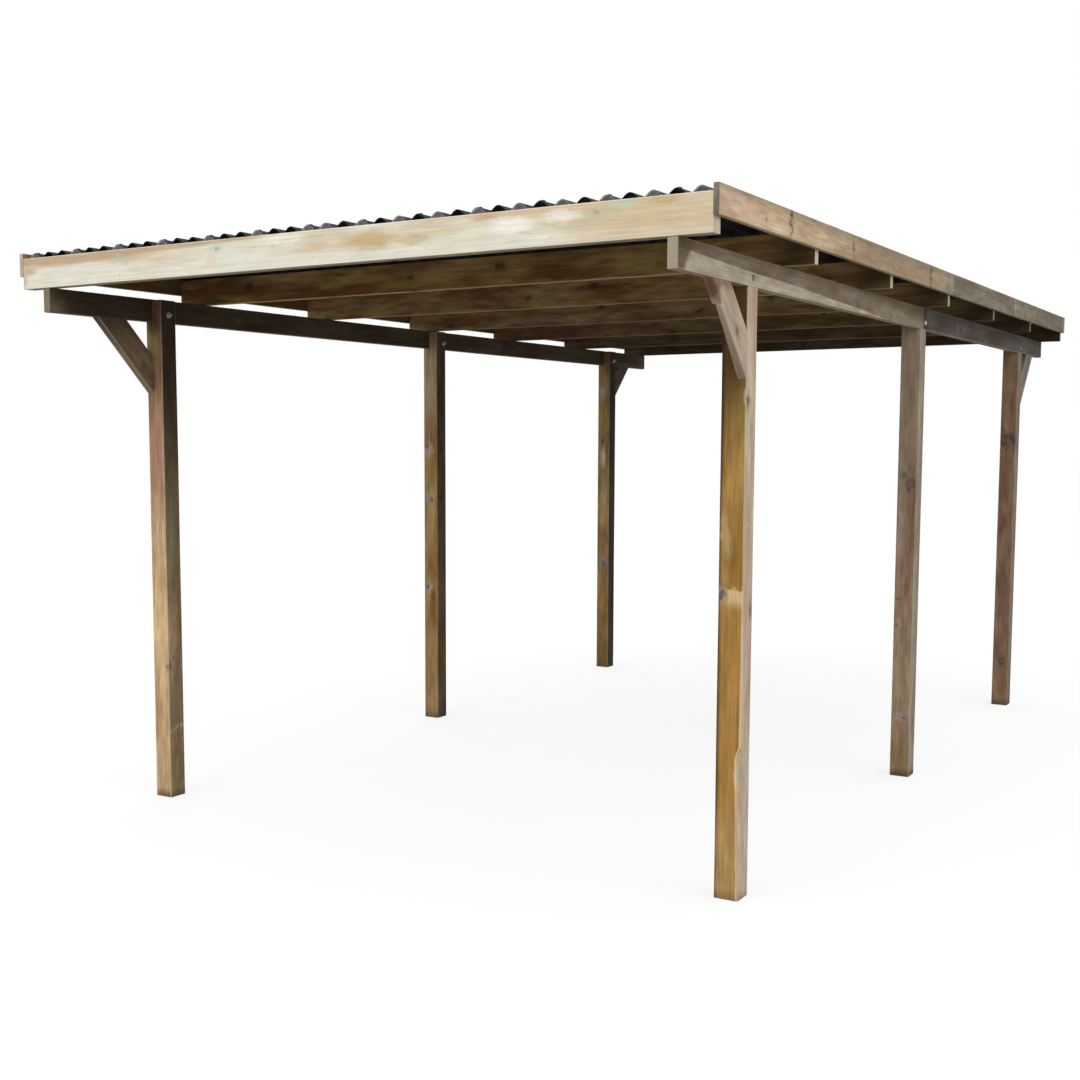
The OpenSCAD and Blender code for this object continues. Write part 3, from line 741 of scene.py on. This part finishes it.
# behind the front board the underside is made pale blue-white, in every third wave on the left and every second on the
# right
wave = calc(tree, "FLOOR", wave)
thirds = calc(tree, "FLOORED_MODULO", calc(tree, "ADD", wave, 1.0), 3.0)
halves = calc(tree, "FLOORED_MODULO", wave, 2.0)
on_right = calc(tree, "GREATER_THAN", wave, -0.5)
turns = add_node(tree, "ShaderNodeMix", {0: on_right, 2: thirds, 3: halves}).outputs[0]
chosen = calc(tree, "LESS_THAN", turns, 0.5)
near = ranged(tree, spot[1], -2.50, -2.62, 0.0, 0.9)
pale_hollow = calc(tree, "MULTIPLY", calc(tree, "MULTIPLY", chosen, near), below)
black = mix(tree, pale_hollow, black, "#dfe6ff")
skin = calc_vector(tree, "MULTIPLY", black, ranged(tree, fibres, 0.3, 0.7, 0.75, 1.2))
matt = calc(tree, "MULTIPLY_ADD", below, 0.3, ranged(tree, fade, 0.3, 0.7, 0.55, 0.8))
felt = add_node(tree, "ShaderNodeBump", {"Strength": 0.35, "Distance": 0.0012, "Height": fibres}).outputs[0]
set_inputs(tree, tree.nodes["Principled BSDF"], {"Base Color": skin, "Roughness": matt, "Normal": felt,
                                                 "Specular IOR Level": 0.2})


def make_tree(name, sockets, build):
    """A Geometry Nodes tree with named inputs, which build turns into geometry, and the inputs' identifiers."""
    tree = bpy.data.node_groups.new(name, "GeometryNodeTree")
    tree.interface.new_socket("Geometry", in_out="OUTPUT", socket_type="NodeSocketGeometry")
    keys = {}
    for label, kind in sockets.items():
        keys[label] = tree.interface.new_socket(label, in_out="INPUT", socket_type="NodeSocket" + kind).identifier
    given = add_node(tree, "NodeGroupInput").outputs
    real = add_node(tree, "GeometryNodeRealizeInstances", {"Geometry": build(tree, given)})
    coated = add_node(tree, "GeometryNodeSetMaterial", {"Geometry": real.outputs[0], "Material": given["Material"]})
    add_node(tree, "NodeGroupOutput", {0: coated.outputs[0]})
    return tree, keys


def run_tree(name, made_tree, mesh, values):
    """The tree's result as a plain mesh in an object of its own, with the modifier gone."""
    tree, keys = made_tree
    holder = new_object(name, mesh)
    maker = holder.modifiers.new("maker", "NODES")
    maker.node_group = tree
    for label, value in values.items():
        maker[keys[label]] = value
    apply_modifiers(holder)
    smooth_faces(holder.data, 40)
    return holder


def corrugated(tree, given):
    """A flat grid bent into the wave, whose crests are fuller than its valleys. It climbs on to its neighbour, is
    tilted and gets its thickness."""
    wide = calc(tree, "SUBTRACT", given["To X"], given["From X"])
    long = calc(tree, "SUBTRACT", given["To Y"], given["From Y"])
    grid = add_node(tree, "GeometryNodeMeshGrid", {"Size X": wide, "Size Y": long, "Vertices X": given["Points Across"],
                                                   "Vertices Y": given["Points Along"]})
    spot = add_node(tree, "GeometryNodeInputPosition").outputs[0]
    spot = add_node(tree, "ShaderNodeSeparateXYZ", {0: spot}).outputs
    half_x = calc(tree, "MULTIPLY_ADD", wide, 0.5, given["From X"])
    half_y = calc(tree, "MULTIPLY_ADD", long, 0.5, given["From Y"])
    x = calc(tree, "ADD", spot[0], half_x)
    y = calc(tree, "ADD", spot[1], half_y)
    angle = calc(tree, "MULTIPLY", calc(tree, "DIVIDE", x, given["Wave Pitch"]), 2 * math.pi)
    swing = calc(tree, "MULTIPLY_ADD", calc(tree, "COSINE", angle), -0.5, 0.5)
    swing = calc(tree, "POWER", swing, given["Wave Fullness"])
    rise = calc(tree, "MULTIPLY_ADD", swing, given["Wave Height"], given["Base Z"])
    for at, label in ((x, "Climb"), (y, "Tilt")):
        past = calc(tree, "SUBTRACT", at, given[label + " From"])
        rise = calc(tree, "MULTIPLY_ADD", past, given[label], rise)
    spot = add_node(tree, "ShaderNodeCombineXYZ", {0: x, 1: y, 2: rise})
    under = add_node(tree, "GeometryNodeSetPosition", {"Geometry": grid.outputs[0], "Position": spot.outputs[0]})
    lift = add_node(tree, "ShaderNodeCombineXYZ", {2: given["Thickness"]})
    over = add_node(tree, "GeometryNodeExtrudeMesh", {"Mesh": under.outputs[0], "Offset": lift.outputs[0],
                                                      "Offset Scale": 1.0, "Individual": False}, mode="FACES")
    flipped = add_node(tree, "GeometryNodeFlipFaces", {"Mesh": under.outputs[0]})
    joined = add_node(tree, "GeometryNodeJoinGeometry", {0: over.outputs[0]})
    tree.links.new(flipped.outputs[0], joined.inputs[0])
    return add_node(tree, "GeometryNodeMergeByDistance", {"Geometry": joined.outputs[0], "Distance": 1e-5}).outputs[0]


sheet_sizes = ("From X", "To X", "From Y", "To Y", "Base Z", "Climb", "Climb From", "Tilt", "Tilt From", "Wave Pitch",
               "Wave Height", "Wave Fullness", "Thickness")
sheet_tree = make_tree("corrugated sheet", {**dict.fromkeys(sheet_sizes, "Float"), "Points Across": "Int",
                                            "Points Along": "Int", "Material": "Material"}, corrugated)
rest_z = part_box("rafter_1")[1].z
points_a_wave, points_along = 24, 9
sheet_lie = {}
for course, carrier in (("front", "rafter_1"), ("middle", "rafter_3"), ("rear", "rafter_5")):
    for column in range(1, 5):
        node = f"sheet_{course}_{column}"
        low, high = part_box(node)
        tilt = 0.0 if course == "rear" else 2 * lap_lift / course_step
        climb = 0.0 if column == 4 else lap_lift / sheet_cover
        first_valley = math.ceil(low.x / wave_pitch) * wave_pitch
        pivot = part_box(carrier)[0].y
        sheet_lie[node] = (low, high, climb, first_valley, tilt, pivot)
        sheet = run_tree(node + "_corrugated", sheet_tree, bpy.data.meshes.new("seed"), {
            "From X": low.x, "To X": high.x, "From Y": low.y, "To Y": high.y, "Base Z": rest_z, "Climb": climb,
            "Climb From": first_valley, "Tilt": tilt, "Tilt From": pivot, "Wave Pitch": wave_pitch,
            "Wave Height": wave_high, "Wave Fullness": wave_full, "Thickness": sheet_thick, "Material": bitumen,
            "Points Across": round((high.x - low.x) / wave_pitch * points_a_wave) + 1, "Points Along": points_along})
        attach(sheet, "root")
        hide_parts(node)


# ---------------------------------------------------------------- fixings
# Galvanised coach bolts through beam and post head, with a domed head outside, still bright where two beams butt,
# and a washer, nut and thread end inside; zinc-plated screws in boards and braces; capped nails on the sheets' crests.
def zinc_coat(name, light, dark, metallic):
    """Zinc on steel: spangles of about 3 mm that shine unevenly, under a patchy dull bloom."""
    coat, tree = new_material(name)
    place = add_node(tree, "ShaderNodeTexCoord").outputs["Object"]
    spangle = add_node(tree, "ShaderNodeTexVoronoi", {"Vector": place, "Scale": 350.0}).outputs["Distance"]
    bloom = add_node(tree, "ShaderNodeTexNoise", {"Vector": place, "Scale": 90.0, "Detail": 3.0}).outputs["Fac"]
    grey = mix(tree, bloom, light, dark)
    shine = ranged(tree, spangle, 0.0, 1.0, 0.42, 0.62)
    set_inputs(tree, tree.nodes["Principled BSDF"], {"Base Color": grey, "Roughness": shine, "Metallic": metallic})
    return coat


zinc_bright = zinc_coat("galvanised steel nut, hot-dipped", "#d4d6d6", "#94979a", 0.5)
zinc_dull = zinc_coat("galvanised steel bolt, hot-dipped and dulled", "#8a7f6c", "#4c4438", 0.6)
zinc_stained = zinc_coat("zinc-plated steel screw, stained by the wood", "#d0c4ac", "#b0a48c", 0.1)


def set_on_points(tree, given, shape):
    """One fixing, built along +Z, on every point, turned to the point's own direction."""
    way = add_node(tree, "GeometryNodeInputNamedAttribute", {"Name": "out"}, data_type="FLOAT_VECTOR")
    aimed = add_node(tree, "FunctionNodeAlignRotationToVector", {"Vector": way.outputs[0]}, axis="Z")
    return add_node(tree, "GeometryNodeInstanceOnPoints", {"Points": given["Geometry"], "Instance": shape,
                                                           "Rotation": aimed.outputs[0]}).outputs[0]


def domed(tree, given):
    """A flattened ball on each point, whose outer half shows."""
    ball = add_node(tree, "GeometryNodeMeshUVSphere", {"Segments": 14, "Rings": 8, "Radius": given["Radius"]})
    flat = calc(tree, "DIVIDE", given["Height"], given["Radius"])
    scale = add_node(tree, "ShaderNodeCombineXYZ", {0: 1.0, 1: 1.0, 2: flat})
    dome = add_node(tree, "GeometryNodeTransform", {"Geometry": ball.outputs[0], "Scale": scale.outputs[0]})
    return set_on_points(tree, given, dome.outputs[0])


def nutted(tree, given):
    """A washer, a six-sided nut and a thread end on each point, as three cylinders from the same plane."""
    parts = add_node(tree, "GeometryNodeJoinGeometry")
    for part, high, sides in (("Washer", "Thickness", 24), ("Nut", "Height", 6), ("Thread", "Length", 12)):
        height = given[f"{part} {high}"]
        disc = add_node(tree, "GeometryNodeMeshCylinder", {"Vertices": sides, "Radius": given[part + " Radius"],
                                                           "Depth": height})
        lift = add_node(tree, "ShaderNodeCombineXYZ", {2: calc(tree, "MULTIPLY", height, 0.5)})
        raised = add_node(tree, "GeometryNodeTransform", {"Geometry": disc.outputs[0], "Translation": lift.outputs[0]})
        tree.links.new(raised.outputs[0], parts.inputs[0])
    return set_on_points(tree, given, parts.outputs[0])


def fixing_tree(name, build, *sizes):
    """A tree that sets a fixing on every point of a mesh, with the fixing's sizes as inputs."""
    return make_tree(name, {"Geometry": "Geometry", **dict.fromkeys(sizes, "Float"), "Material": "Material"}, build)


def add_fixings(name, made_tree, places, values):
    """One piece with a fixing at each place, given as its point and the direction that it looks in."""
    mesh = bpy.data.meshes.new("points")
    mesh.from_pydata([p for p, _ in places], [], [])
    mesh.attributes.new("out", "FLOAT_VECTOR", "POINT").data.foreach_set("vector", [c for _, d in places for c in d])
    fixing = run_tree(name, made_tree, mesh, values)
    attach(fixing, "root")
    return fixing


dome_tree = fixing_tree("domed head", domed, "Radius", "Height")
nut_tree = fixing_tree("washer, nut and thread", nutted, "Washer Radius", "Washer Thickness", "Nut Radius",
                       "Nut Height", "Thread Radius", "Thread Length")
bolt_z, joint_shift = seat + 0.029, 0.020
heads, joint_heads, nuts = [], [], []
for node in post_looks:
    low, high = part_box(node)
    middle = (low.y + high.y) / 2 + (joint_shift if "middle" in node else 0.0)
    outside, inside, out, into = (high.x, low.x, RIGHT, LEFT) if low.x > 0 else (low.x, high.x, LEFT, RIGHT)
    nuts.append(((inside, middle, bolt_z), into))
    (joint_heads if "middle" in node else heads).append(((outside, middle, bolt_z), out))
add_fixings("coach_bolt_heads", dome_tree, heads, {"Radius": 0.0115, "Height": 0.0055, "Material": zinc_dull})
add_fixings("joint_bolt_heads", dome_tree, joint_heads, {"Radius": 0.0115, "Height": 0.0075, "Material": zinc_bright})
add_fixings("coach_bolt_nuts", nut_tree, nuts, {
    "Washer Radius": 0.0125, "Washer Thickness": 0.0022, "Nut Radius": 0.0098, "Nut Height": 0.0102,
    "Thread Radius": 0.005, "Thread Length": 0.018, "Material": zinc_bright})

# two rows of screws in each board, twice two where the side boards meet, and one screw at each end of a brace
side_rows, front_rows, twin = (2.243, 2.278), (2.198, 2.262), 0.009
near_end, far_end = 0.022, 0.205
rafter_y = [sum(corner.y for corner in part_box(f"rafter_{k}")) / 2 for k in range(1, len(rafter_tones) + 1)]
screws = []
for number, y_at in enumerate(rafter_y):
    for out, face in ((RIGHT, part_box("side_board_front_right")[1].x), (LEFT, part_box("side_board_front_left")[0].x)):
        for z in side_rows:
            screws += [((face, y_at + shift, z), out) for shift in ((-twin, twin) if number == 3 else (0.0,))]
board_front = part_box("front_board")[0].y
screws += [((x_at, board_front, z), FRONT) for x_at in (-1.4, -0.94, -0.47, 0.0, 0.47, 0.94, 1.4) for z in front_rows]
for node in brace_looks:
    low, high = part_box(node)
    face, out = (high.x, RIGHT) if low.x > 0 else (low.x, LEFT)
    near, outward = (high.y, -1) if high.y < 0 else (low.y, 1)
    for down, away in ((far_end, near_end), (near_end, far_end)):
        screws.append(((face, near + outward * away, high.z - down), out))
add_fixings("board_screw_heads", dome_tree, screws, {"Radius": 0.003, "Height": 0.0006, "Material": zinc_stained})


def sheet_top(x_at, y_at):
    """Height of the topmost sheet's upper face at a place on the roof."""
    swing = (0.5 - 0.5 * math.cos(2 * math.pi * x_at / wave_pitch)) ** wave_full
    return max(rest_z + wave_high * swing + climb * (x_at - valley) + tilt * (y_at - pivot) + sheet_thick
               for low, high, climb, valley, tilt, pivot in sheet_lie.values()
               if low.x <= x_at <= high.x and low.y <= y_at <= high.y)


# the caps are of black polyethylene that fine dust has dulled, on every third crest over each rafter
cap_sink = 0.0005
crests = [(crest + 0.5) * wave_pitch for crest in range(-19, 19, 3)]
caps = [((x_at, y_at, sheet_top(x_at, y_at) - cap_sink), UP) for y_at in rafter_y for x_at in crests]
cap_plastic, tree = new_material("polyethylene nail cap, moulded")
place = add_node(tree, "ShaderNodeTexCoord").outputs["Object"]
dust = add_node(tree, "ShaderNodeTexNoise", {"Vector": place, "Scale": 120.0, "Detail": 2.0}).outputs["Fac"]
tint = mix(tree, dust, "#19191b", "#2d2d2f")
set_inputs(tree, tree.nodes["Principled BSDF"], {"Base Color": tint, "Roughness": 0.42})
nail_caps = add_fixings("roof_nail_caps", dome_tree, caps, {"Radius": 0.0085, "Height": 0.0036,
                                                            "Material": cap_plastic})
